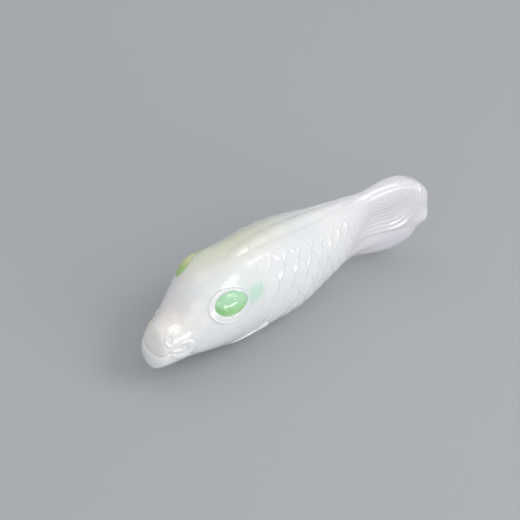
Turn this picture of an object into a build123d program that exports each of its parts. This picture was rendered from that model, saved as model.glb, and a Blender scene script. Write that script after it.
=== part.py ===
"""A carved jadeite fish, resting upright on a small flat ground under its belly.

Frame: +Z up, nose towards -X, tail towards +X, the fish's own left towards -Y.
The origin is on the belly flat, under the middle of the fish. Lengths are in mm.

The whole fish is one stone. Each carved feature is a solid of its own that meets
its neighbours face to face, so the solids together fill the stone without overlap.
"""
from build123d import *
from math import sqrt
import os

os.makedirs("parts", exist_ok=True)

# Overall shape
HALF_LENGTH = 35.0  # nose to tail is twice this
BOW = 2.9  # how far nose and tail swing towards the left of the mid-body
RELIEF = 0.6  # height of carved relief above the body's surface
REACH = 16.0  # longer than half the fish's width, for tools that cut right across
SIDES = ((-1, "left"), (1, "right"))

# Stations of the body: distance along X, lowest Z, highest Z, half width.
# Bottoms below zero are ground flat afterwards.
STATIONS = [
    (-35.0, 4.9, 11.3, 1.7),
    (-33.8, 4.2, 12.5, 2.8),
    (-31.5, 4.3, 12.9, 3.6),
    (-29.5, 4.0, 14.0, 4.3),
    (-27.0, 3.4, 16.8, 5.3),
    (-24.0, 2.7, 18.8, 6.5),
    (-20.5, 1.8, 20.0, 7.4),
    (-16.5, 0.7, 20.8, 7.7),
    (-12.0, -0.4, 21.1, 7.8),
    (-6.0, -0.5, 21.0, 7.9),
    (0.0, -0.3, 20.5, 7.6),
    (6.0, 0.9, 20.0, 6.1),
    (12.0, 2.4, 19.8, 4.4),
    (17.5, 3.8, 20.0, 3.0),
    (22.0, 3.4, 20.7, 2.5),
    (27.0, 2.7, 20.5, 2.7),
    (31.0, 3.4, 18.5, 2.6),
    (34.0, 5.4, 15.9, 1.9),
    (35.0, 6.8, 14.2, 1.2),
]

# Face
NOSTRIL_X, NOSTRIL_Y, NOSTRIL_Z, NOSTRIL_RADIUS = -32.4, 2.9, 11.7, 0.8
EYE_X, EYE_Z = -20.9, 16.4
EYE_HALF_LENGTH, EYE_RADIUS, EYE_BULGE = 3.3, 2.1, 1.1
LID_OUTER = (4.5, 3.3)
LID_INNER = (3.6, 2.4)
LID_DROP = 0.7  # the lids reach further below the eye than above it

# Low fins
DORSAL_HALF_THICKNESS = 0.9
NOTCH_X, NOTCH_Z, NOTCH_RADIUS = 35.7, 9.0, 1.3


def spine_y(x):
    """Sideways place of the body's middle line, a shallow bow."""
    return -BOW * (x / HALF_LENGTH) ** 2


def station_at(x):
    """Lowest Z, highest Z and half width at x, straight between the stations."""
    for near, far in zip(STATIONS, STATIONS[1:]):
        if near[0] <= x <= far[0]:
            share = (x - near[0]) / (far[0] - near[0])
            return [a + share * (b - a) for a, b in zip(near[1:], far[1:])]
    raise ValueError(f"no body at x = {x}")


def half_width_at(x, z):
    """Half width of the body's oval cross-section at a height."""
    low, high, half_width = station_at(x)
    rise = (z - (low + high) / 2) / ((high - low) / 2)
    return half_width * sqrt(1 - rise**2)


def cross_section(x, low, high, half_width, grow):
    """Upright oval section of the body, larger all round by grow."""
    plane = Plane(origin=(x, spine_y(x), (low + high) / 2), x_dir=(0, 1, 0), z_dir=(1, 0, 0))
    with BuildSketch(plane) as section:
        Ellipse(half_width + grow, (high - low) / 2 + grow)
    return section.sketch


def body_form(grow):
    """The whole fish as one smooth form, with its belly ground flat."""
    with BuildPart() as form:
        loft(sections=[cross_section(*station, grow) for station in STATIONS])
        split(bisect_by=Plane.XY, keep=Keep.TOP)
    return form.part


def across(outline):
    """A cutting block: an outline in the side view, carried right across the fish."""
    with BuildPart() as block:
        extrude(outline, amount=REACH, both=True)
    return block.part


def relief(outline, side):
    """A feature in low relief on one flank, from an outline in the side view."""
    with BuildPart() as feature:
        extrude(outline, amount=REACH, dir=(0, side, 0))
        add(skin, mode=Mode.INTERSECT)
        add(body, mode=Mode.SUBTRACT)
    return feature.part


def save(part, name):
    part.label = name
    export_step(part, f"parts/{name}.step")


# ---------------------------------------------------------------- shared forms
body = body_form(0)
skin = body_form(RELIEF)

# Gill line: where head and trunk meet, from the throat up to the nape
with BuildSketch(Plane.XZ) as head_outline:
    with BuildLine():
        Spline((-24.0, -2.0), (-16.6, 4.4), (-13.4, 10.0), (-13.8, 15.0), (-12.6, 24.0))
        Polyline((-12.6, 24.0), (-40.0, 24.0), (-40.0, -2.0), (-24.0, -2.0))
    make_face()
head_zone = across(head_outline.sketch)

# Tail root: the rounded end of the scaled body
with BuildSketch(Plane.XZ) as tail_outline:
    with BuildLine():
        ThreePointArc((17.2, 24.0), (19.4, 10.0), (17.8, -2.0))
        Polyline((17.8, -2.0), (40.0, -2.0), (40.0, 24.0), (17.2, 24.0))
    make_face()
tail_zone = across(tail_outline.sketch)

# Parting of the two lobes, from the root to the notch
with BuildSketch(Plane.XZ) as upper_lobe_outline:
    with BuildLine():
        Spline((14.0, 11.6), (21.0, 10.1), (28.5, 9.3), (40.0, 8.8))
        Polyline((40.0, 8.8), (40.0, 26.0), (14.0, 26.0), (14.0, 11.6))
    make_face()
upper_zone = across(upper_lobe_outline.sketch)

with BuildSketch(Plane.XZ) as notch_outline:
    with Locations((NOTCH_X, NOTCH_Z)):
        Circle(NOTCH_RADIUS)
notch = across(notch_outline.sketch)

# The snout above the mouth, and the long chin below it
with BuildSketch(Plane.XZ) as lip_outline:
    with BuildLine():
        Spline((-30.0, 9.4), (-31.0, 11.8), (-29.8, 16.0))
        Polyline((-29.8, 16.0), (-37.0, 16.0), (-37.0, 9.4), (-30.0, 9.4))
    make_face()
lip_zone = across(lip_outline.sketch)

with BuildSketch(Plane.XZ) as jaw_outline:
    with BuildLine():
        Spline((-32.4, 8.9), (-29.0, 6.9), (-24.8, 5.7))
        Polyline((-24.8, 5.7), (-25.4, -1.0), (-37.0, -1.0), (-37.0, 8.9), (-32.4, 8.9))
    make_face()
jaw_zone = across(jaw_outline.sketch)

with BuildSketch(Plane.XZ) as mouth_outline:
    with BuildLine():
        Polyline((-37.0, 8.7), (-32.4, 8.9), (-32.4, 9.4), (-37.0, 9.5), close=True)
    make_face()
mouth = across(mouth_outline.sketch)

# ---------------------------------------------------------------- eyes and lids
body_side = body.faces().sort_by(SortBy.AREA)[-1]
with BuildPart() as eye_form:
    Sphere(EYE_RADIUS)
    scale(by=(EYE_HALF_LENGTH / EYE_RADIUS, 1, 1))

eyes = {}
for side, hand in SIDES:
    on_surface = Vector(EYE_X, spine_y(EYE_X) + side * half_width_at(EYE_X, EYE_Z), EYE_Z)
    outward = body_side.normal_at(on_surface)
    along = Vector(1, 0, 0) - outward * outward.X
    centre = on_surface - outward * (EYE_RADIUS - EYE_BULGE)
    with BuildPart() as eye:
        with Locations(Plane(origin=centre, x_dir=along, z_dir=outward)):
            add(eye_form.part)
    eyes[hand] = eye.part
    with BuildPart() as eyelid:
        with BuildSketch(Plane(origin=on_surface, x_dir=along, z_dir=outward)):
            with Locations((0, side * LID_DROP)):
                Ellipse(*LID_OUTER)
                Ellipse(*LID_INNER, mode=Mode.SUBTRACT)
        extrude(amount=4.0, both=True)
        add(skin, mode=Mode.INTERSECT)
        add(body, mode=Mode.SUBTRACT)
        add(eye.part, mode=Mode.SUBTRACT)
    save(eye.part, f"{hand}_eye")
    save(eyelid.part, f"{hand}_eyelid")

# ---------------------------------------------------------------- head
with BuildPart() as head:
    add(body)
    add(head_zone, mode=Mode.INTERSECT)
    for carved_away in (lip_zone, jaw_zone, mouth, *eyes.values()):
        add(carved_away, mode=Mode.SUBTRACT)
save(head.part, "head")

with BuildPart() as upper_lip:
    add(skin)
    add(lip_zone, mode=Mode.INTERSECT)
    add(mouth, mode=Mode.SUBTRACT)
save(upper_lip.part, "upper_lip")

with BuildPart() as lower_jaw:
    add(skin)
    add(jaw_zone, mode=Mode.INTERSECT)
    add(mouth, mode=Mode.SUBTRACT)
save(lower_jaw.part, "lower_jaw")

# ---------------------------------------------------------------- small face trim
for side, hand in SIDES:
    with BuildPart() as nostril:
        with Locations((NOSTRIL_X, spine_y(NOSTRIL_X) + side * NOSTRIL_Y, NOSTRIL_Z)):
            Sphere(NOSTRIL_RADIUS)
        add(upper_lip.part, mode=Mode.SUBTRACT)
    save(nostril.part, f"{hand}_nostril")

    # A fleshy scroll curls up round the corner of the mouth
    with BuildSketch(Plane.XZ) as curl:
        with BuildLine():
            Spline((-31.2, 7.2), (-28.8, 6.7), (-27.1, 8.6), (-28.0, 10.9), (-30.3, 11.2))
            Spline((-30.3, 10.5), (-29.1, 10.0), (-29.1, 9.0), (-30.0, 8.4), (-31.2, 8.6))
            Line((-31.2, 7.2), (-31.2, 8.6))
            Line((-30.3, 11.2), (-30.3, 10.5))
        make_face()
    with BuildPart() as barbel:
        add(relief(curl.sketch, side))
        add(lip_zone, mode=Mode.SUBTRACT)
        add(jaw_zone, mode=Mode.SUBTRACT)
    save(barbel.part, f"{hand}_barbel")

    # The gill cover's rim runs along the throat and turns up behind the cheek
    with BuildSketch(Plane.XZ) as rim:
        with BuildLine():
            Spline((-24.4, 3.2), (-19.4, 3.3), (-14.6, 6.0), (-12.3, 10.6), (-12.9, 14.2))
            Spline((-24.4, 4.4), (-19.8, 4.9), (-16.0, 7.4), (-14.4, 10.8), (-14.2, 14.0))
            Line((-24.4, 3.2), (-24.4, 4.4))
            Line((-12.9, 14.2), (-14.2, 14.0))
        make_face()
    gill_cover = relief(rim.sketch, side)
    save(gill_cover, f"{hand}_gill_cover")

    # The pectoral fin lies back along the low flank
    with BuildSketch(Plane.XZ) as fin:
        with BuildLine():
            Spline((-16.6, 3.4), (-12.4, 6.0), (-8.4, 6.5))
            Spline((-8.4, 6.5), (-7.6, 4.2), (-9.2, 2.0))
            Spline((-9.2, 2.0), (-13.4, 2.0), (-16.6, 3.4))
        make_face()
    with BuildPart() as pectoral:
        add(relief(fin.sketch, side))
        add(gill_cover, mode=Mode.SUBTRACT)
    save(pectoral.part, f"{hand}_pectoral_fin")

# ---------------------------------------------------------------- trunk and dorsal fin
with BuildPart() as trunk:
    add(body)
    add(head_zone, mode=Mode.SUBTRACT)
    add(tail_zone, mode=Mode.SUBTRACT)
save(trunk.part, "trunk")

with BuildSketch(Plane.XZ) as dorsal_outline:
    with BuildLine():
        Spline((-21.0, 19.4), (-16.0, 21.4), (-7.0, 22.0), (5.0, 20.9), (16.4, 20.2))
        Polyline((16.4, 20.2), (16.4, 16.0), (-21.0, 16.0), (-21.0, 19.4))
    make_face()
with BuildPart() as dorsal_fin:
    with BuildSketch(Plane.XY.offset(16.0)) as ridge:
        with BuildLine():
            front, middle, rear = [(x, spine_y(x)) for x in (-21.0, -2.0, 16.4)]
            ThreePointArc(front, middle, rear)
        trace(line_width=2 * DORSAL_HALF_THICKNESS)
    extrude(amount=8.0)
    add(across(dorsal_outline.sketch), mode=Mode.INTERSECT)
    add(body, mode=Mode.SUBTRACT)
save(dorsal_fin.part, "dorsal_fin")

# ---------------------------------------------------------------- tail
for name, mode in (("tail_fin_upper", Mode.INTERSECT), ("tail_fin_lower", Mode.SUBTRACT)):
    with BuildPart() as lobe:
        add(body)
        add(tail_zone, mode=Mode.INTERSECT)
        add(upper_zone, mode=mode)
        add(notch, mode=Mode.SUBTRACT)
    save(lobe.part, name)
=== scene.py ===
"""The looks of a carved jadeite fish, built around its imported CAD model.

Shapes are worked out in millimetres in the CAD's frame: nose towards -X, the fish's
own left towards -Y, +Z up. They become metres as each mesh is made. The body's form is
read from the CAD solids, and the carving is cut into it or laid on it.
"""
from math import pi, radians, sqrt

import bmesh
import bpy
import numpy as np
from mathutils import Matrix, Vector
from mathutils.bvhtree import BVHTree


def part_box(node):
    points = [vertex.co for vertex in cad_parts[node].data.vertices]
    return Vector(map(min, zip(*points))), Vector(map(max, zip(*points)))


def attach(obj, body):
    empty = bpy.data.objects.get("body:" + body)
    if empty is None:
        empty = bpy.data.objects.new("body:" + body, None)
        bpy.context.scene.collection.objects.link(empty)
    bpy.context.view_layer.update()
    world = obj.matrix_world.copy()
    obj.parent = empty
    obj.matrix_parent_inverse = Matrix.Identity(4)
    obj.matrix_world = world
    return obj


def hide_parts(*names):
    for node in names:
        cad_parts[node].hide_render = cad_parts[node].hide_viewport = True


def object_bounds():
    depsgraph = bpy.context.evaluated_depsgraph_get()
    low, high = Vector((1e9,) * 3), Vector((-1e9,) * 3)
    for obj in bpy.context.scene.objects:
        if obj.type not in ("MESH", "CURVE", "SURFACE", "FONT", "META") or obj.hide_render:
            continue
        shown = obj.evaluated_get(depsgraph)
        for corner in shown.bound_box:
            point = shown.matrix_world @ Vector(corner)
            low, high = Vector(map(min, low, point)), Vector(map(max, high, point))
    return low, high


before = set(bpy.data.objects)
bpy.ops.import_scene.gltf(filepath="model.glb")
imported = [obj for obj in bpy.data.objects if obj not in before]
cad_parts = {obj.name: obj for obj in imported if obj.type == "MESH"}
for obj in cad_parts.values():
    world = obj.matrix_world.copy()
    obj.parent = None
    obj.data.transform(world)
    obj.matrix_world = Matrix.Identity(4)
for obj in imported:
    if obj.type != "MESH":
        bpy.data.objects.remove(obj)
cad_box = [list(corner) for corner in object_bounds()]

MM = 0.001
NOSE = cad_box[0][0] / MM
TAIL = cad_box[1][0] / MM
SIDES = ((-1, "left"), (1, "right"))

# ------------------------------------------------------------ camera
CAMERA_AT = Vector((-289.4, -206.8, 320.3)) * MM
CAMERA_RIGHT = Vector((0.7125, -0.6712, 0.2043))
CAMERA_UP = Vector((0.3508, 0.5930, 0.7247))
CAMERA_VIEW_ANGLE = radians(11.535)


def add_camera():
    """A long lens, rolled so that the fish lies with its tail high."""
    data = bpy.data.cameras.new("camera")
    data.angle = CAMERA_VIEW_ANGLE
    data.clip_start = 0.01
    camera = bpy.data.objects.new("camera", data)
    right = CAMERA_RIGHT.normalized()
    back = right.cross(CAMERA_UP).normalized()
    up = back.cross(right)
    turned = Matrix((right, up, back)).transposed().to_4x4()
    camera.matrix_world = Matrix.Translation(CAMERA_AT) @ turned
    bpy.context.scene.collection.objects.link(camera)
    bpy.context.scene.camera = camera


# ------------------------------------------------------------ small mathematics
def ease(value, start, end):
    """0 before start, 1 after end, and smooth between them."""
    share = np.clip((value - start) / (end - start), 0, 1)
    return share * share * (3 - 2 * share)


def bump(value, centre, width):
    """A round hump of height 1."""
    return np.exp(-(((value - centre) / width) ** 2))


def smooth_curve(xs, values):
    """A function of x that passes smoothly through the given values."""
    xs, values = np.asarray(xs, float), np.asarray(values, float)
    count, gaps = len(xs), np.diff(xs)
    slopes = np.diff(values) / gaps
    system, right_side = np.eye(count), np.zeros(count)
    for i in range(1, count - 1):
        system[i, i - 1:i + 2] = gaps[i - 1], 2 * (gaps[i - 1] + gaps[i]), gaps[i]
        right_side[i] = 6 * (slopes[i] - slopes[i - 1])
    bend = np.linalg.solve(system, right_side)

    def curve(x):
        x = np.clip(x, xs[0], xs[-1])
        i = np.clip(np.searchsorted(xs, x) - 1, 0, count - 2)
        before, after, gap = x - xs[i], xs[i + 1] - x, gaps[i]
        cubic = (bend[i] * after**3 + bend[i + 1] * before**3) / (6 * gap)
        line = (values[i] * after + values[i + 1] * before) / gap
        return cubic + line - gap / 6 * (bend[i] * after + bend[i + 1] * before)

    return curve


def smooth_line(points, count=90):
    """Points along a smooth line through a few given points."""
    points = np.asarray(points, float)
    steps = np.hypot(*np.diff(points, axis=0).T)
    along = np.concatenate([[0], np.cumsum(steps)])
    at = np.linspace(0, along[-1], count)
    return np.stack([smooth_curve(along, column)(at) for column in points.T], -1)


# ------------------------------------------------------------ the body's form, read from the CAD
FORM_NODES = ("upper_lip", "lower_jaw", "head", "trunk", "tail_fin_upper", "tail_fin_lower")
STATION_COUNT = 27
END_INSET = 0.05  # the first and last stations lie this far inside the CAD's ends
NOSE_ROUND = 1.3  # length over which the blunt nose is rounded off
SEARCH_REACH = 60.0  # rays that measure the body start this far outside it
FLANK_HEIGHTS = (-0.3, -0.1, 0.1)  # shares of the half height, all below the eyes


def form_tree():
    """A search tree over the CAD solids that make up the body."""
    points, faces = [], []
    for name in FORM_NODES:
        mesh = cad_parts[name].data
        start = len(points)
        points += [vertex.co / MM for vertex in mesh.vertices]
        faces += [[start + i for i in polygon.vertices] for polygon in mesh.polygons]
    return BVHTree.FromPolygons(points, faces)


def measure_stations():
    """Middle, height and half width of the CAD body at even steps from nose to tail."""
    tree = form_tree()
    far = SEARCH_REACH

    def meet(start, direction):
        return tree.ray_cast(Vector(start), Vector(direction))[0]

    def flanks(x, z, half_height):
        """Sideways middle and half width."""
        found = []
        for off in FLANK_HEIGHTS:
            left = meet((x, -far, z + off * half_height), (0, 1, 0))
            right = meet((x, far, z + off * half_height), (0, -1, 0))
            if left and right:
                found.append(((left.y + right.y) / 2, (right.y - left.y) / 2 / sqrt(1 - off**2)))
        return np.mean(found, axis=0)

    xs = np.linspace(NOSE + END_INSET, TAIL - END_INSET, STATION_COUNT)
    rows = []
    for x in xs:
        z, half_height = 10.0, 4.0
        for _ in range(3):
            y, half = flanks(x, z, half_height)
            high = meet((x, y, far), (0, 0, -1)).z
            low = meet((x, y, -far), (0, 0, 1)).z
            z, half_height = (low + high) / 2, (high - low) / 2
        rows.append((y, low, high, half))
    rows = np.array(rows)
    rows[1:-1, 1] = (rows[:-2, 1] + 2 * rows[1:-1, 1] + rows[2:, 1]) / 4  # no step behind the jaw
    return xs, rows


station_xs, stations = measure_stations()
spine_y, low_z, high_z, half_width = (smooth_curve(station_xs, column) for column in stations.T)


def end_shrink(x):
    """How far the section has closed in towards the rounded nose."""
    into = np.clip((NOSE + NOSE_ROUND - x) / NOSE_ROUND, 0, 1)
    return np.sqrt(np.maximum(1 - into**2, 1e-8))


def section(x):
    """Middle y, middle z, half width and half height of the body's oval section."""
    shrink = end_shrink(x)
    middle = (low_z(x) + high_z(x)) / 2
    return spine_y(x), middle, half_width(x) * shrink, (high_z(x) - low_z(x)) / 2 * shrink


def on_body(x, angle):
    """Points and outward normals of the plain body. The angle is 0 at the back, + to the right."""
    y0, z0, a, b = section(x)
    step = 0.02
    y1, z1, a1, b1 = section(x + step)
    s, c = np.sin(angle), np.cos(angle)
    points = np.stack(np.broadcast_arrays(x, y0 + a * s, z0 + b * c), -1)
    slope = s * ((y1 - y0) + (a1 - a) * s) / a + c * ((z1 - z0) + (b1 - b) * c) / b
    normals = np.stack(np.broadcast_arrays(-slope / step, s / a, c / b), -1)
    return points, normals / np.linalg.norm(normals, axis=-1, keepdims=True)


def angle_at(x, z, side):
    """The section angle at which the body's flank has this height."""
    _, z0, _, b = section(x)
    return side * np.arccos(np.clip((z - z0) / b, -1, 1))


RATIOS = np.linspace(0.1, 1.4, 53)
HALF_TURNS = np.linspace(0, 1, 121)


def angle_table():
    """Section angle for each share of the way from back to belly, for ovals of each slimness."""
    angles = np.linspace(0, pi, 721)
    table = []
    for ratio in RATIOS:
        steps = np.hypot(np.diff(ratio * np.sin(angles)), np.diff(np.cos(angles)))
        way = np.concatenate([[0], np.cumsum(steps)])
        table.append(np.interp(HALF_TURNS * way[-1], way, angles))
    return np.array(table)


ANGLES = angle_table()


def angle_for_turn(x, turn):
    """Section angle for a turn: 0 at the back, -1 at the belly by the left, 1 by the right."""
    _, _, a, b = section(x)
    row = np.clip((a / b - RATIOS[0]) / (RATIOS[1] - RATIOS[0]), 0, len(RATIOS) - 1.001)
    column = np.abs(turn) * (len(HALF_TURNS) - 1) * 0.999999
    i, j = row.astype(int), column.astype(int)
    u, v = row - i, column - j
    near = ANGLES[i, j] * (1 - v) + ANGLES[i, j + 1] * v
    far = ANGLES[i + 1, j] * (1 - v) + ANGLES[i + 1, j + 1] * v
    return np.sign(turn) * (near * (1 - u) + far * u)


# ------------------------------------------------------------ meshes
def mesh_piece(node_name, points, faces, material):
    """A closed smooth-shaded piece that rides on the body and stands for its CAD node."""
    name = f"{node_name}_carving"
    mesh = bpy.data.meshes.new(name)
    made = bmesh.new()
    flat = np.array(points, float)
    flat[:, 2] = np.maximum(flat[:, 2], 0.0)
    vertices = [made.verts.new(Vector(point) * MM) for point in flat]
    for face in faces:
        made.faces.new([vertices[i] for i in face])
    bmesh.ops.remove_doubles(made, verts=made.verts, dist=1e-4 * MM)
    bmesh.ops.dissolve_degenerate(made, edges=made.edges, dist=1e-5 * MM)
    bmesh.ops.recalc_face_normals(made, faces=made.faces)
    for face in made.faces:
        face.smooth = True
    made.to_mesh(mesh)
    made.free()
    mesh.materials.append(material)
    piece = bpy.data.objects.new(name, mesh)
    bpy.context.scene.collection.objects.link(piece)
    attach(piece, "root")
    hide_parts(node_name)
    return piece


def ring_faces(rows, columns):
    """Quads between neighbouring closed rings."""
    faces = []
    for i in range(rows - 1):
        for j in range(columns):
            k = (j + 1) % columns
            here, there = i * columns, (i + 1) * columns
            faces.append((here + j, here + k, there + k, there + j))
    return faces


def ringed(name, rings, material, caps=(True, True)):
    """A closed form from rings of points, with its open ends closed by fans."""
    rows, columns = rings.shape[:2]
    points = list(rings.reshape(-1, 3))
    faces = ring_faces(rows, columns)
    for wanted, row in zip(caps, (0, rows - 1)):
        if wanted:
            centre = len(points)
            points.append(rings[row].mean(0))
            for j in range(columns):
                faces.append((row * columns + j, row * columns + (j + 1) % columns, centre))
    return mesh_piece(name, points, faces, material)


def laid_on(name, x, angle, height, material, depth=2.0, loop=False):
    """A closed piece of low relief: a grid of places on the body, raised by height.

    The grid's rim has to lie below the body's surface. Its underside is sunk by depth.
    A loop closes on itself along its first direction.
    """
    points, normals = on_body(x, angle)
    upper = points + normals * height[..., None]
    rows, columns = x.shape
    across = np.sin(np.linspace(0, pi, columns))[None, :]
    along = 1.0 if loop else 0.1 + 0.9 * np.sin(np.linspace(0, pi, rows))[:, None] ** 0.5
    lower = upper - normals * (depth * across * along)[..., None]
    # each row's ring runs over the top and back underneath
    rings = np.concatenate([upper, lower[:, -2:0:-1]], axis=1)
    if loop:
        count = rings.shape[1]
        faces = ring_faces(rows, count)
        for j in range(count):
            k = (j + 1) % count
            faces.append(((rows - 1) * count + j, (rows - 1) * count + k, k, j))
        return mesh_piece(name, rings.reshape(-1, 3), faces, material)
    return ringed(name, rings, material)


def band(line, half_widths, rows, columns):
    """Side-view grid of a band along a line: x, z, share along and share across (-1 to 1)."""
    at = smooth_line(line, rows)
    tangent = np.gradient(at, axis=0)
    tangent /= np.linalg.norm(tangent, axis=1, keepdims=True)
    widths = smooth_curve(np.linspace(0, 1, len(half_widths)), half_widths)(np.linspace(0, 1, rows))
    across = np.linspace(-1, 1, columns)[None, :]
    x = at[:, 0, None] - tangent[:, 1, None] * widths[:, None] * across
    z = at[:, 1, None] + tangent[:, 0, None] * widths[:, None] * across
    along = np.linspace(0, 1, rows)[:, None] + 0 * across
    return x, z, along, across + 0 * along


# ------------------------------------------------------------ lines that part the carved regions
GILL_X = smooth_curve((-2.0, 4.4, 10.0, 15.0, 24.0), (-24.0, -16.6, -13.4, -13.8, -12.6))
ROOT_X = smooth_curve((-2.0, 10.0, 24.0), (17.8, 19.4, 17.2))
PARTING_Z = smooth_curve((14.0, 21.0, 28.5, 36.0), (11.6, 10.1, 9.3, 9.0))
MOUTH_Z = smooth_curve((-35.0, -34.5, -33.8, -32.8, -31.3, -29.5), (8.1, 8.1, 8.6, 9.2, 9.4, 9.2))
JAW_Z = smooth_curve((-35.0, -34.5, -33.8, -32.8, -31.0, -29.0, -26.8, -22.0),
                     (8.1, 8.1, 8.6, 9.0, 8.0, 7.0, 6.2, 5.4))
JAW_END_X = -25.1
LIP_X = smooth_curve((6.0, 9.4, 11.8, 16.0), (-29.6, -30.0, -31.0, -29.8))
OVERLAP = 1.6  # how far one region runs on under its neighbour
SINK = 0.35  # how fast it sinks there, per mm squared

# ------------------------------------------------------------ places on the body
ORBIT_HEIGHT, BROW_HEIGHT = 0.5, 0.4
EYE_LIFT = 0.3  # the CAD eye's middle lies inside the head, a little lower than its face
EYE_AHEAD = {"left": 0.1, "right": 0.5}
EYE_TILT = 0.86  # the flank leans at the eye, so heights look this much shorter from the side
EYE_DOME, EYE_SUNK = 1.0, 0.48  # height of the eye's dome, and how deep its rim lies
SOCKET_DEPTH = 0.30
EYE_SIZE = (3.45, 2.25)
LID_SIZE = (4.5, 3.2)
LID_DROP = 0.7  # the lids reach further below the eye than above it


def eye_middle(hand):
    """Side-view place of an eye's middle, from the box of its CAD node."""
    low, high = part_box(f"{hand}_eye")
    centre = (low + high) / (2 * MM)
    return centre.x - EYE_AHEAD[hand], centre.z + EYE_LIFT


EYES = {side: eye_middle(hand) for side, hand in SIDES}


def sunk(beyond):
    """A surface that runs on past its edge and sinks below its neighbour."""
    return -SINK * np.clip(beyond, 0, 2.2) ** 2


def places(xs, turns):
    """x, angle and height on the plain body, where x may differ from place to place."""
    angle = angle_for_turn(xs, turns)
    _, z0, _, b = section(xs)
    return angle, z0 + b * np.cos(angle)


def between(front, rear, share, turns):
    """Places along the body between two edges, each given as x for a height."""
    start, end = np.full(turns.shape, front(10.0)), np.full(turns.shape, rear(10.0))
    for _ in range(5):
        start = front(places(start, turns)[1])
        end = rear(places(end, turns)[1])
    return start + (end - start) * share


def raised(x, angle, height):
    """Points at a height over the plain body."""
    points, normals = on_body(x, angle)
    return points + normals * height[..., None]


# ------------------------------------------------------------ head
def eye_radius(x, z, side):
    """Distance from the middle of the lids, where 1 is their almond edge."""
    eye_x, eye_z = EYES[side]
    return np.hypot((x - eye_x) / LID_SIZE[0], (z - eye_z + LID_DROP) / (LID_SIZE[1] * EYE_TILT))


def orbit(x, z, side):
    """The low mound that carries an eye and its lids, with a brow over them."""
    eye_x, eye_z = EYES[side]
    along = x - eye_x
    mound = ORBIT_HEIGHT * np.exp(-((along / 5.0) ** 2) - ((z - eye_z) / 3.0) ** 2)
    return mound + BROW_HEIGHT * np.exp(-((along / 4.6) ** 4) - ((z - eye_z - 2.4) / 1.8) ** 2)


def jaw_crease(x, z):
    """The fold between cheek and jaw, which dies away towards the gill."""
    fade = ease(-x, 25.5, 29.0)
    return -0.20 * fade * bump(z - JAW_Z(x), 0.0, 0.42)


def head_relief(x, z, angle):
    """Height of the head's skin: sunk edges, the eyes' mounds and sockets, and the jaw's fold."""
    lip = np.minimum(LIP_X(z) - x, z - MOUTH_Z(np.maximum(x, -35)) + 0.4)
    jaw = np.minimum(JAW_Z(x) - z, JAW_END_X - x)
    height = sunk(np.maximum(lip, jaw)) + sunk(x - GILL_X(z))
    left = angle < 0
    height += np.where(left, orbit(x, z, -1), orbit(x, z, 1))
    radius = np.where(left, eye_radius(x, z, -1), eye_radius(x, z, 1))
    height -= 0.02 * bump(radius, 1.15, 0.20)  # a faint groove outside the lids
    height -= SOCKET_DEPTH * ease(1.0 - radius, 0.0, 0.4)
    return height + jaw_crease(x, z)


def make_head(material):
    rows, columns = 250, 360
    turns = np.broadcast_to(np.linspace(-1, 1, columns, endpoint=False), (rows, columns))
    share = np.linspace(0, 1, rows)[:, None]
    x = between(lambda z: -32.9 + 0 * z, lambda z: GILL_X(z) + OVERLAP, share, turns)
    angle, z = places(x, turns)
    return ringed("head", raised(x, angle, head_relief(x, z, angle)), material)


# ------------------------------------------------------------ the tail's carving, from the trunk on
EDGE_ROUND = 2.0  # length over which the tail's thin edge is rounded off
NOTCH_Z = 8.5
DISH_TOP = 19.3
DISH_DEPTH, DISH_RIM = 0.55, 0.20
RAY_PITCH = 0.105  # as a share of the dish
RAY_DEPTH = 0.12
PAST_PARTING = 0.12  # how far each lobe runs on inside the other, as a share of its height
CURL = 1.1  # how far the upper lobe's tip swings to the left
LOBE_FROM = 16.0  # the lobes begin here, inside the trunk
THIN = 1.2  # carving grows shallower where the blade's half thickness is less than this


def tail_end_x(z):
    """Rear edge of the tail, with a small notch where the lobes meet."""
    return TAIL - 0.9 * bump(z, NOTCH_Z, 0.7) - 1.5 * ease(NOTCH_Z - z, 0.0, 1.2)


def tail_fullness(x):
    """2 for an oval section at the root, and more towards the end, where the rims are fuller."""
    return 2.0 + 1.0 * ease(x, 18.0, 25.0)


def tail_carving(x, z):
    """Carving on the tail's flank: a shallow dish above the parting, with rays sweeping up."""
    parting = PARTING_Z(x)
    upper = ease(z - parting, -0.2, 0.9)
    low = (DISH_TOP - z) / (DISH_TOP - parting - 0.5)
    out = np.maximum(x - 23.2, 0) / 7.2
    ring = (out**3 + np.maximum(low, 0) ** 3) ** (1 / 3)
    inside = (1 - ease(ring, 0.70, 1.02)) * ease(low, -0.08, 0.62)
    rays = 0.5 + 0.5 * np.cos(2 * pi * ring / RAY_PITCH)
    depth = 0.35 * ease(ring, 0.02, 0.12) + 0.65 * ease(ring, 0.30, 0.60)
    rays = rays * depth * (1 - ease(ring, 0.97, 1.01)) * ease(x, 16.0, 22.0)
    dish = DISH_RIM * bump(ring, 1.03, 0.06) * ease(x, 17.0, 22.0)
    dish = dish - DISH_DEPTH * inside * ease(x, 14.5, 20.0)
    crease = -0.10 * bump(z - parting, 0.0, 0.8) * ease(x, 16.5, 20.5)
    swell = 0.25 * bump(x, 20.0, 5.0) * bump(z, 7.6, 1.6) * (1 - upper)
    return (dish - RAY_DEPTH * rays) * upper + crease + swell


# ------------------------------------------------------------ scaled trunk
SCALE_ROWS = 18
FRONT_PITCH, REAR_PITCH = 4.2, 1.9
SCALES_FROM, SCALES_TO = -10.0, 17.5
SCALE_HEIGHT = 0.46


def scale_places(x, turns):
    """Place on the lattice of scales, which grow smaller towards the tail."""
    shrink = (FRONT_PITCH - REAR_PITCH) / (SCALES_TO - SCALES_FROM)
    pitch = np.maximum(FRONT_PITCH - shrink * (x - SCALES_FROM), REAR_PITCH)
    return np.log(FRONT_PITCH / pitch) / shrink, turns * SCALE_ROWS / 2


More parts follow.
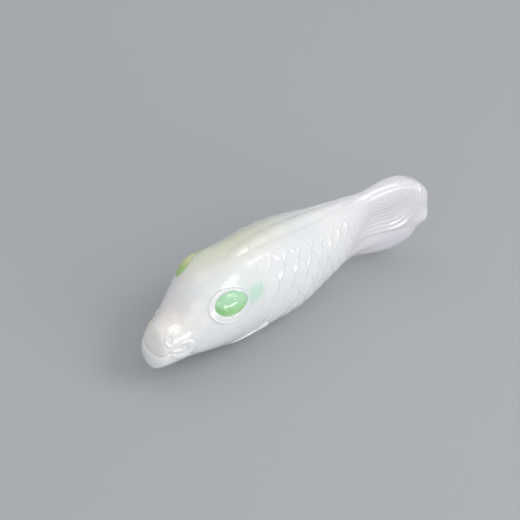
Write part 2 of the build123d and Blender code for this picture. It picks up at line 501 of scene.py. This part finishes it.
def scales(u, v):
    """Height, 0 to 1, of overlapping scales with rounded rear edges."""
    heights, centres, behinds = [], [], []
    for row in (np.floor(v), np.floor(v) + 1):
        off = v - row
        edge = 0.78 * np.sqrt(np.maximum(1 - off**2, 0))
        stagger = 0.5 * (row % 2)
        first = np.ceil(u - edge - stagger) + stagger
        for step in (0, 1):
            behind = u - first - step - edge
            lip = 0.22 * bump(behind, -0.16, 0.12)  # rounded rear rim
            heights.append(1 + behind / 1.35 - 0.35 * off**2 + lip)
            centres.append(first + step)
            behinds.append(behind)
    order = np.argsort(np.array(centres), axis=0, kind="stable")
    heights, behinds = np.array(heights), np.array(behinds)

    def pick(values, rank):
        """The value at the scale that is first or second in front to back order."""
        return np.take_along_axis(values, order[rank][None], 0)[0]

    top = ease(-pick(behinds, 0), 0.0, 0.20)
    return pick(heights, 0) * top + pick(heights, 1) * (1 - top)


def rear_rays(x, angle):
    """Fine rays of the dorsal fin's rear end, laid almost flat on either side of the back."""
    out = np.abs(section(x)[2] * np.sin(angle)) + 0.05 * (x - 11.0)
    where = ease(x, 5.5, 8.5) * (1 - ease(x, 14.5, 16.5))
    where = where * ease(out, 0.5, 0.8) * (1 - ease(out, 1.9, 2.5))
    return 0.09 * where * (0.5 + 0.5 * np.cos(2 * pi * out / 0.44))


def trunk_relief(x, z, angle, turns):
    """Height of the trunk's skin: sunk edges, the tail's carving, scales and fine rays."""
    gill, root = GILL_X(z), ROOT_X(z)
    height = sunk(gill - x) + sunk(x - root) + tail_carving(x, z)
    where = ease(x - gill, 2.0, 4.0) * (1 - ease(x, 12.0, 14.5))
    where = where * ease(np.abs(turns), 0.10, 0.22) * (1 - ease(np.abs(turns), 0.86, 0.96))
    height += SCALE_HEIGHT * where * (scales(*scale_places(x, turns)) - 0.75)
    return height + rear_rays(x, angle)


def make_trunk(material):
    rows, columns = 262, 360
    turns = np.broadcast_to(np.linspace(-1, 1, columns, endpoint=False), (rows, columns))
    share = np.linspace(0, 1, rows)[:, None]
    x = between(lambda z: GILL_X(z) - OVERLAP, lambda z: ROOT_X(z) + OVERLAP, share, turns)
    angle, z = places(x, turns)
    return ringed("trunk", raised(x, angle, trunk_relief(x, z, angle, turns)), material)


# ------------------------------------------------------------ lips
def half_tube(name, x, left, right, relief, material):
    """A solid around part of the section: an arc of skin and a flat wall through the middle."""
    arc = left + (right - left) * np.linspace(0, 1, 150)[None, :]
    xs = x[:, None] + 0 * arc
    _, z0, _, b = section(xs)
    skin = raised(xs, arc, relief(xs, z0 + b * np.cos(arc), arc))
    share = np.linspace(0, 1, 10)[1:-1, None]
    wall = skin[:, -1:, :] * (1 - share) + skin[:, :1, :] * share
    return ringed(name, np.concatenate([skin, wall], axis=1), material)


def from_nose(rear, count):
    """Places from the tip of the nose to rear, close together round the tip."""
    return NOSE + (rear - NOSE) * (1 - np.cos(np.linspace(0, pi / 2, count)))


def mouth_edge(x, z):
    """Rounded lips that roll into the mouth's cleft."""
    gap = z - MOUTH_Z(x)
    return -0.20 * bump(gap, 0.0, 0.40) - 0.08 * bump(gap, 0.0, 0.9)


NOSTRIL_X, NOSTRIL_ANGLE = -32.8, 0.80
NOSTRIL_DEPTH, NOSTRIL_RIM = 0.15, 0.11


def nostril_dimple(x, angle):
    """The hollow of a nostril, longer around the snout than along it."""
    away = np.hypot((x - NOSTRIL_X) * 1.3, (np.abs(angle) - NOSTRIL_ANGLE) * 3.6)
    return -NOSTRIL_DEPTH * bump(away, 0.0, 0.8)


def make_upper_lip(material):
    def relief(x, z, angle):
        near_mouth = ease(-x, 28.8, 30.4)
        height = sunk(x - LIP_X(z)) + sunk(MOUTH_Z(x) - z)
        return height + near_mouth * mouth_edge(x, z) + nostril_dimple(x, angle)

    x = from_nose(-29.0, 110)
    edge = angle_at(x, MOUTH_Z(x) - 0.9, 1)[:, None]
    return half_tube("upper_lip", x, -edge, edge, relief, material)


def make_lower_jaw(material):
    def relief(x, z, angle):
        gap = JAW_Z(x) - z
        near_mouth = 1 - ease(x, -32.6, -31.4)
        height = sunk(-gap) + sunk(x - JAW_END_X) + near_mouth * mouth_edge(x, z)
        height += 0.12 * bump(x, -33.2, 1.6) * bump(z, 5.6, 1.6)
        return height + (1 - near_mouth) * jaw_crease(x, z)

    x = from_nose(JAW_END_X + OVERLAP, 150)
    edge = angle_at(x, JAW_Z(x) + 0.9, 1)[:, None]
    return half_tube("lower_jaw", x, edge, 2 * pi - edge, relief, material)


# ------------------------------------------------------------ tail
def make_lobe(name, upper, material):
    """One lobe of the tail: a thin blade whose rim is rounded off."""
    rows, columns = 170, 120
    u = np.sin(np.linspace(0, pi / 2, rows))[:, None] ** 0.9
    v = np.sin(np.linspace(0, pi / 2, columns))[None, :]  # close together near the outer rim
    v = v * (1 + PAST_PARTING) - PAST_PARTING
    x = LOBE_FROM + (TAIL - LOBE_FROM) * u + 0 * v
    for _ in range(4):
        rim = high_z(x) if upper else low_z(x)
        parting = PARTING_Z(x)
        z = parting + (rim - parting) * v
        x = LOBE_FROM + (tail_end_x(z) - LOBE_FROM) * u
    y0, z0, a, b = section(x)
    round_off = np.clip((x - tail_end_x(z) + EDGE_ROUND) / EDGE_ROUND, 0, 1)
    power = tail_fullness(x)
    fullness = np.maximum(1 - np.abs((z - z0) / b) ** power, 0) ** (1 / power)
    thickness = a * fullness * np.sqrt(1 - round_off**2)
    shape = np.clip(thickness / THIN, 0, 1)
    past = parting - z if upper else z - parting
    curl = -CURL * bump(x, TAIL, 3.0) * bump(z, NOTCH_Z + 1.6, 2.2) * upper
    flanks = []
    for side, _ in SIDES:
        out = thickness + (tail_carving(x, z) + sunk(ROOT_X(z) - x) + sunk(past)) * shape
        flanks.append(np.stack([x, y0 + curl + side * np.maximum(out, 0.25 * thickness), z], -1))
    left, right = flanks
    share = np.linspace(0, 1, 8)[1:-1, None]
    wall = right[:, :1, :] * (1 - share) + left[:, :1, :] * share
    rings = np.concatenate([left, right[:, ::-1], wall], axis=1)
    return ringed(name, rings, material, caps=(True, False))


# ------------------------------------------------------------ eyes
def almond(side, size, radius, turn, drop=0.0):
    """Side-view place at a share of an almond round the eye's middle, or round a place below it."""
    eye_x, eye_z = EYES[side]
    pointed = 1 - 0.08 * np.abs(np.cos(turn)) ** 3
    x = eye_x + size[0] * radius * np.cos(turn)
    z = eye_z - drop + size[1] * EYE_TILT * radius * np.sin(turn) * pointed
    return x, z


def make_eyelid(name, side, material):
    """An almond ring: a fine ridge that hugs the eye above, and a broad band with a rim below."""
    turn = np.linspace(0, 2 * pi, 200, endpoint=False)[:, None]
    across = np.linspace(-1, 1, 36)[None, :]
    share = (across + 1) / 2
    inner_x, inner_z = almond(side, EYE_SIZE, 0.90, turn)
    outer_x, outer_z = almond(side, LID_SIZE, 1.10, turn, LID_DROP)
    x = inner_x + (outer_x - inner_x) * share
    z = inner_z + (outer_z - inner_z) * share
    below = 0.5 - 0.5 * np.sin(turn)
    corners = 0.35 + 0.65 * np.abs(np.sin(turn))  # the ridge dies away at the eye's corners
    ridge = 0.14 if side < 0 else 0.06
    height = ridge * corners * bump(share, 0.66 + 0.10 * below, 0.14)
    height += 0.05 * bump(share, 0.42, 0.22)
    height -= 0.30 * ease(share, 0.80, 1.0) + 0.55 * ease(-share, -0.26, 0.0)
    height += orbit(x, z, side)
    return laid_on(name, x, angle_at(x, z, side), height, material, depth=1.6, loop=True)


def make_eye(name, side, material):
    """A long domed eye with a fine ring cut round its pupil."""
    turn = np.linspace(0, 2 * pi, 120, endpoint=False)[:, None]
    radius = np.linspace(0.0, 1.0, 44)[None, :]
    x, z = almond(side, EYE_SIZE, 1.04 * radius, turn)
    angle = angle_at(x, z, side)
    rise = np.sqrt(np.maximum(1 - radius**2, 0))
    pupil_ring = 0.04 * bump(radius, 0.45, 0.08)
    height = EYE_DOME * rise - EYE_SUNK - pupil_ring + orbit(x, z, side)
    points, normals = on_body(x, angle)
    dome = points + normals * height[..., None]
    under = points - normals * (0.45 + 0.9 * rise)[..., None]
    rings = np.concatenate([dome, under[:, -2::-1]], axis=1)
    return ringed(name, np.swapaxes(rings, 0, 1), material, caps=(False, False))


# ------------------------------------------------------------ fine relief
CREST_FROM, CREST_LENGTH = -22.5, 39.0
CREST_PITCH, CREST_HEIGHT = 4.9, 0.42
BARBEL_HEIGHT = 0.38
PECTORAL_FROM, PECTORAL_LENGTH = -16.8, 8.6


def make_nostril(name, side, material):
    """A small flared rim around the nostril's hollow."""
    turn = np.linspace(0, 2 * pi, 72, endpoint=False)[:, None]
    across = np.linspace(-1, 1, 16)[None, :]
    radius = 1.0 + 0.46 * across
    x = NOSTRIL_X + 0.80 * radius * np.cos(turn)
    angle = side * (NOSTRIL_ANGLE + 0.29 * radius * np.sin(turn))
    flare = 0.2 + 0.8 * (0.5 - 0.5 * np.cos(turn - 0.4)) ** 2  # fullest in front
    height = NOSTRIL_RIM * flare * (1 - across**2) - 0.09 * ease(np.abs(across), 0.3, 1.0)
    return laid_on(name, x, angle, height, material, depth=0.9, loop=True)


def make_barbel(name, side, material):
    """A fleshy scroll that curls up round the corner of the mouth."""
    line = ((-32.8, 8.8), (-31.2, 7.9), (-29.5, 7.6), (-28.4, 8.6),
            (-28.6, 9.9), (-29.8, 10.6), (-31.0, 10.4))
    x, z, along, across = band(line, (0.3, 0.6, 0.9, 1.0, 1.0, 0.9, 0.7, 0.3), 110, 26)
    height = BARBEL_HEIGHT * np.maximum(1 - across**2, 0) ** 0.7 * np.sin(pi * along) ** 0.5 - 0.10
    height -= 0.03 * bump(across, 0.30, 0.25) * ease(along, 0.3, 0.5)
    return laid_on(name, x, angle_at(x, z, side), height, material, depth=1.4)


def make_gill_cover(name, side, material):
    """The gill cover's rim: two fine ridges, with a third outside them behind the cheek."""
    line = ((-27.0, 3.8), (-24.0, 2.9), (-19.6, 2.8), (-16.2, 4.6),
            (-14.0, 7.6), (-13.0, 11.0), (-13.4, 14.0))
    x, z, along, across = band(line, (0.4, 0.9, 1.1, 1.2, 1.3, 1.2, 0.5), 190, 40)
    ends = np.sin(pi * along) ** 0.35
    rear = ease(along, 0.45, 0.62)
    height = 0.30 * bump(across, 0.42, 0.17) + 0.24 * bump(across, -0.02, 0.15)
    height += 0.20 * rear * bump(across, -0.55, 0.15)
    height = (height * (1 - 0.88 * ease(z, 1.8, 3.8)) + 0.03 * (1 - across**2)) * ends
    height -= 0.35 * ease(np.abs(across), 0.6, 1.0) + 0.25 * (1 - ends)
    return laid_on(name, x, angle_at(x, z, side), height, material, depth=1.8)


def make_pectoral_fin(name, side, material):
    """A small fin of spreading rays, laid back along the low flank."""
    rows, columns = 90, 64
    along = np.linspace(0, 1, rows)[:, None]
    across = np.linspace(-1, 1, columns)[None, :]
    spread = 0.35 + 2.0 * along**0.8
    x = PECTORAL_FROM + PECTORAL_LENGTH * along * (1 - 0.16 * across**2)
    z = 3.1 + 1.0 * along + spread * across
    rays = np.abs(np.cos(across * 3.25 * pi)) ** 0.7
    rim = np.clip((1 - np.abs(across)) / 0.12, 0, 1)
    rim = rim * np.clip((1 - along) / 0.05, 0, 1) * np.clip(along / 0.06, 0, 1)
    height = (0.30 + 0.16 * rays) * np.sqrt(rim) - 0.2
    return laid_on(name, x, angle_at(x, z, side), height, material, depth=1.2)


def make_dorsal_fin(material):
    """A low crest along the back, cut into long scallops."""
    rows, columns = 330, 60
    along = np.linspace(0, 1, rows)[:, None]
    across = np.linspace(-1, 1, columns)[None, :]
    x = CREST_FROM + CREST_LENGTH * along + 0 * across
    ends = np.sin(pi * along) ** 0.5
    reach = 1.2 + 0.9 * np.sin(pi * along) ** 0.6
    angle = reach * across / section(x)[2]
    steps = (x - CREST_FROM) / CREST_PITCH
    saw = steps - np.floor(steps)
    scallop = 0.22 * (saw - 0.6) * (1 - ease(saw, 0.84, 1.0))
    profile = np.cos(np.clip(across / 0.88, -1, 1) * pi / 2) ** 2
    height = (CREST_HEIGHT + scallop) * profile * ends
    height -= 0.20 * ease(np.abs(across), 0.86, 1.0) + 0.22 * (1 - ends)
    return laid_on("dorsal_fin", x, angle, height, material, depth=1.6)


# ------------------------------------------------------------ stone
def feed(tree, sockets, values):
    """Give sockets their values, each of them plain or another node's output."""
    for socket, value in zip(sockets, values):
        if isinstance(value, bpy.types.NodeSocket):
            tree.links.new(value, socket)
        else:
            socket.default_value = value


def node(tree, kind, settings=None, **inputs):
    """A shader node with its settings, and its inputs given as for feed."""
    made = tree.nodes.new(kind)
    for key, value in (settings or {}).items():
        setattr(made, key, value)
    feed(tree, [made.inputs[key.replace("_", " ")] for key in inputs], inputs.values())
    return made


def maths(tree, operation, first, second=0.0):
    made = tree.nodes.new("ShaderNodeMath")
    made.operation = operation
    feed(tree, made.inputs, (first, second))
    return made.outputs[0]


def mixed(tree, share, first, second):
    """Two colours mixed by a share."""
    made = tree.nodes.new("ShaderNodeMix")
    made.data_type = "RGBA"
    feed(tree, (made.inputs[0], made.inputs[6], made.inputs[7]), (share, first, second))
    return made.outputs[2]


def near_place(tree, place, centre, radii, core):
    """1 in the core of an oval region of the stone, fading to 0 at its edge."""
    mapping = node(tree, "ShaderNodeMapping", {"vector_type": "TEXTURE"}, Vector=place,
                   Location=Vector(centre) * MM, Scale=Vector(radii) * MM)
    length = tree.nodes.new("ShaderNodeVectorMath")
    length.operation = "LENGTH"
    tree.links.new(mapping.outputs[0], length.inputs[0])
    fade = node(tree, "ShaderNodeMapRange", {"interpolation_type": "SMOOTHSTEP"},
                Value=length.outputs["Value"], From_Min=core, From_Max=1.0, To_Min=1.0, To_Max=0.0)
    return fade.outputs[0]


def cloud(tree, place, scale, detail=4.0, rough=0.55, warp=0.0):
    """Cloudy unevenness, from about 0.3 to 0.7."""
    made = node(tree, "ShaderNodeTexNoise", Vector=place, Scale=scale, Detail=detail,
                Roughness=rough, Distortion=warp)
    return made.outputs["Fac"]


def ramp(tree, value, start, end):
    """0 before start, 1 after end, and smooth between them."""
    smooth = {"interpolation_type": "SMOOTHSTEP"}
    made = node(tree, "ShaderNodeMapRange", smooth, Value=value, From_Min=start, From_Max=end)
    return made.outputs[0]


def colour(red, green, blue):
    return (red, green, blue, 1.0)


ICE_WHITE = colour(0.82, 0.84, 0.85)
LILAC_WHITE = colour(0.82, 0.81, 0.86)
MILK_WHITE = colour(0.88, 0.88, 0.87)
DUSK_LILAC = colour(0.77, 0.76, 0.79)
# painted shade for the near side of the lower tail lobe
PAINTED_SHADE_LILAC = colour(0.72, 0.71, 0.78)
CREAM = colour(0.88, 0.80, 0.73)
# also the colour of the painted glow along the back
LEAF_GREEN = colour(0.68, 0.72, 0.38)
MOSS_GREEN = colour(0.42, 0.60, 0.16)
APPLE_GREEN = colour(0.37, 0.70, 0.29)
SEA_GREEN = colour(0.48, 0.78, 0.60)
PALE_GREEN = colour(0.70, 0.84, 0.66)
DEEP_GREEN = colour(0.22, 0.58, 0.18)


def polished(tree, base, place, polish):
    """Translucent stone with a hand polish that varies a little, under a fine glossy skin."""
    wear = cloud(tree, place, 900.0, 3.0)
    rough = node(tree, "ShaderNodeMapRange", Value=wear, From_Min=0.3, From_Max=0.7,
                 To_Min=polish, To_Max=polish + 0.10)
    uneven = cloud(tree, place, 260.0, 2.0)
    relief = node(tree, "ShaderNodeBump", Height=uneven, Strength=0.10, Distance=0.0003)
    shader = tree.nodes.new("ShaderNodeBsdfPrincipled")
    tree.links.new(base, shader.inputs["Base Color"])
    tree.links.new(rough.outputs[0], shader.inputs["Roughness"])
    tree.links.new(relief.outputs[0], shader.inputs["Normal"])
    shader.inputs["IOR"].default_value = 1.66
    shader.inputs["Subsurface Weight"].default_value = 0.30
    shader.inputs["Subsurface Radius"].default_value = (1.0, 1.1, 1.0)
    shader.inputs["Subsurface Scale"].default_value = 0.0005
    shader.inputs["Coat Weight"].default_value = 0.55
    shader.inputs["Coat Roughness"].default_value = 0.06
    node(tree, "ShaderNodeOutputMaterial", Surface=shader.outputs[0])


def blank_material(name):
    material = bpy.data.materials.new(name)
    material["slot"] = name
    material.use_nodes = True
    material.node_tree.nodes.clear()
    return material, material.node_tree


def white_jade():
    """Icy white stone: lilac clouds, a painted yellow-green glow of light through the thin top of
    the back, green round the eyes, cream at the snout, and painted shade on the near side of the
    lower tail lobe.
    """
    material, tree = blank_material("white_jade")
    place = node(tree, "ShaderNodeTexCoord").outputs["Object"]
    milky = ramp(tree, cloud(tree, place, 70.0, 5.0, 0.6, 0.4), 0.35, 0.65)
    base = mixed(tree, milky, ICE_WHITE, MILK_WHITE)
    lilac = ramp(tree, cloud(tree, place, 38.0), 0.45, 0.7)
    base = mixed(tree, maths(tree, "MULTIPLY", lilac, 0.6), base, LILAC_WHITE)
    flecks = ramp(tree, cloud(tree, place, 420.0, 6.0, 0.7, 0.6), 0.60, 0.74)
    base = mixed(tree, maths(tree, "MULTIPLY", flecks, 0.35), base, MILK_WHITE)
    vary = maths(tree, "MULTIPLY_ADD", cloud(tree, place, 150.0, 5.0, 0.6), 0.9)
    vary.node.inputs[2].default_value = 0.55  # what is added, so that the share stays near 1

    def tint(base, strength, centre, radii, shade, core=0.3):
        """The stone with a shade that gathers unevenly round a place."""
        share = maths(tree, "MULTIPLY", near_place(tree, place, centre, radii, core), strength)
        share = maths(tree, "MULTIPLY", share, vary)
        return mixed(tree, maths(tree, "MINIMUM", share, 1.0), base, shade)

    base = tint(base, 0.50, (-31.5, 0.0, 12.5), (7.0, 9.0, 7.0), CREAM)
    base = tint(base, 0.95, (26.0, 0.0, 12.0), (20.0, 12.0, 16.0), DUSK_LILAC)
    # painted shade: darker lilac on the near side of the lower tail lobe, where it lies under the
    # overhanging upper lobe
    base = tint(base, 0.60, (27.0, -2.5, 6.0), (10.0, 6.0, 6.0), PAINTED_SHADE_LILAC)
    # painted glow: yellow-green light through the thin top of the back, strongest on the far side
    base = tint(base, 0.62, (-14.0, 3.4, 21.0), (21.0, 8.5, 8.0), LEAF_GREEN, core=0.0)
    for side, _ in SIDES:
        base = tint(base, 0.55, (-15.2, -0.6 + side * 6.4, 16.2), (3.4, 3.0, 2.2), SEA_GREEN)
        base = tint(base, 0.18, (-18.0, -0.6 + side * 6.2, 17.5), (9.0, 5.0, 6.0), SEA_GREEN)
    base = tint(base, 0.95, (-20.5, 6.2, 16.8), (6.5, 3.6, 4.6), MOSS_GREEN)
    polished(tree, base, place, 0.14)
    return material


def green_jade():
    """Clear apple green stone, cloudy, bluer above, and mossy in the right eye."""
    material, tree = blank_material("green_jade")
    place = node(tree, "ShaderNodeTexCoord").outputs["Object"]
    position = node(tree, "ShaderNodeSeparateXYZ", Vector=place)
    upper = ramp(tree, position.outputs["Z"], 15.4 * MM, 17.2 * MM)
    base = mixed(tree, maths(tree, "MULTIPLY", upper, 0.6), APPLE_GREEN, SEA_GREEN)
    pale = ramp(tree, cloud(tree, place, 420.0, 4.0, 0.6, 0.5), 0.45, 0.72)
    base = mixed(tree, maths(tree, "MULTIPLY", pale, 0.55), base, PALE_GREEN)
    deep = ramp(tree, cloud(tree, place, 640.0, 3.0, 0.5, 0.3), 0.52, 0.66)
    base = mixed(tree, maths(tree, "MULTIPLY", deep, 0.5), base, DEEP_GREEN)
    right = ramp(tree, position.outputs["Y"], 1.0 * MM, 4.0 * MM)
    base = mixed(tree, maths(tree, "MULTIPLY", right, 0.92), base, MOSS_GREEN)
    rear = ramp(tree, position.outputs["X"], -23.8 * MM, -21.8 * MM)
    high = ramp(tree, position.outputs["Z"], 16.4 * MM, 17.6 * MM)
    behind = maths(tree, "MULTIPLY", maths(tree, "MULTIPLY", right, rear), high)
    base = mixed(tree, maths(tree, "MULTIPLY", behind, 0.95), base, LEAF_GREEN)
    polished(tree, base, place, 0.08)
    return material


def floor_material():
    material, tree = blank_material("floor")
    place = node(tree, "ShaderNodeTexCoord").outputs["Object"]
    base = mixed(tree, cloud(tree, place, 6.0), colour(0.43, 0.44, 0.46), colour(0.45, 0.46, 0.48))
    shader = node(tree, "ShaderNodeBsdfPrincipled", Base_Color=base, Roughness=0.55)
    node(tree, "ShaderNodeOutputMaterial", Surface=shader.outputs[0])
    return material


# ------------------------------------------------------------ studio
def add_floor():
    half = 1.5
    mesh = bpy.data.meshes.new("floor")
    corners = [(-half, -half, 0), (half, -half, 0), (half, half, 0), (-half, half, 0)]
    mesh.from_pydata(corners, [], [(0, 1, 2, 3)])
    mesh.materials.append(floor_material())
    floor = bpy.data.objects.new("floor", mesh)
    bpy.context.scene.collection.objects.link(floor)


def add_softbox(name, direction, distance, size, power):
    """A soft rectangular light that looks at the fish from a direction."""
    data = bpy.data.lights.new(name, "AREA")
    data.shape = "RECTANGLE"
    data.size, data.size_y = size
    data.energy = power
    light = bpy.data.objects.new(name, data)
    aim = Vector((0, 0, 0.012))
    towards = Vector(direction).normalized()
    light.location = aim + towards * distance
    light.rotation_euler = towards.to_track_quat("Z", "Y").to_euler()
    bpy.context.scene.collection.objects.link(light)


def add_world():
    world = bpy.data.worlds.new("studio")
    world.use_nodes = True
    background = world.node_tree.nodes["Background"]
    background.inputs["Color"].default_value = colour(0.955, 0.965, 0.985)
    background.inputs["Strength"].default_value = 0.66
    bpy.context.scene.world = world


# ------------------------------------------------------------ the whole scene
add_camera()
add_world()
add_floor()
add_softbox("key", (0.34, -0.44, 0.84), 0.50, (0.28, 0.19), 0.46)
add_softbox("spark", (0.45, -0.68, 0.58), 0.50, (0.08, 0.08), 0.10)
add_softbox("low", (0.10, -0.95, 0.13), 0.45, (0.36, 0.06), 0.47)
add_softbox("top", (-0.25, 0.5, 0.9), 0.8, (0.5, 0.5), 0.32)
add_softbox("front", (-0.9, -0.5, 0.35), 0.7, (0.5, 0.5), 0.52)

WHITE, GREEN = white_jade(), green_jade()
make_head(WHITE)
make_trunk(WHITE)
make_upper_lip(WHITE)
make_lower_jaw(WHITE)
make_dorsal_fin(WHITE)
make_lobe("tail_fin_upper", True, WHITE)
make_lobe("tail_fin_lower", False, WHITE)
for side, hand in SIDES:
    make_eye(f"{hand}_eye", side, GREEN)
    make_eyelid(f"{hand}_eyelid", side, WHITE)
    make_nostril(f"{hand}_nostril", side, WHITE)
    make_barbel(f"{hand}_barbel", side, WHITE)
    make_gill_cover(f"{hand}_gill_cover", side, WHITE)
    make_pectoral_fin(f"{hand}_pectoral_fin", side, WHITE)

bpy.context.scene.view_settings.view_transform = "Standard"
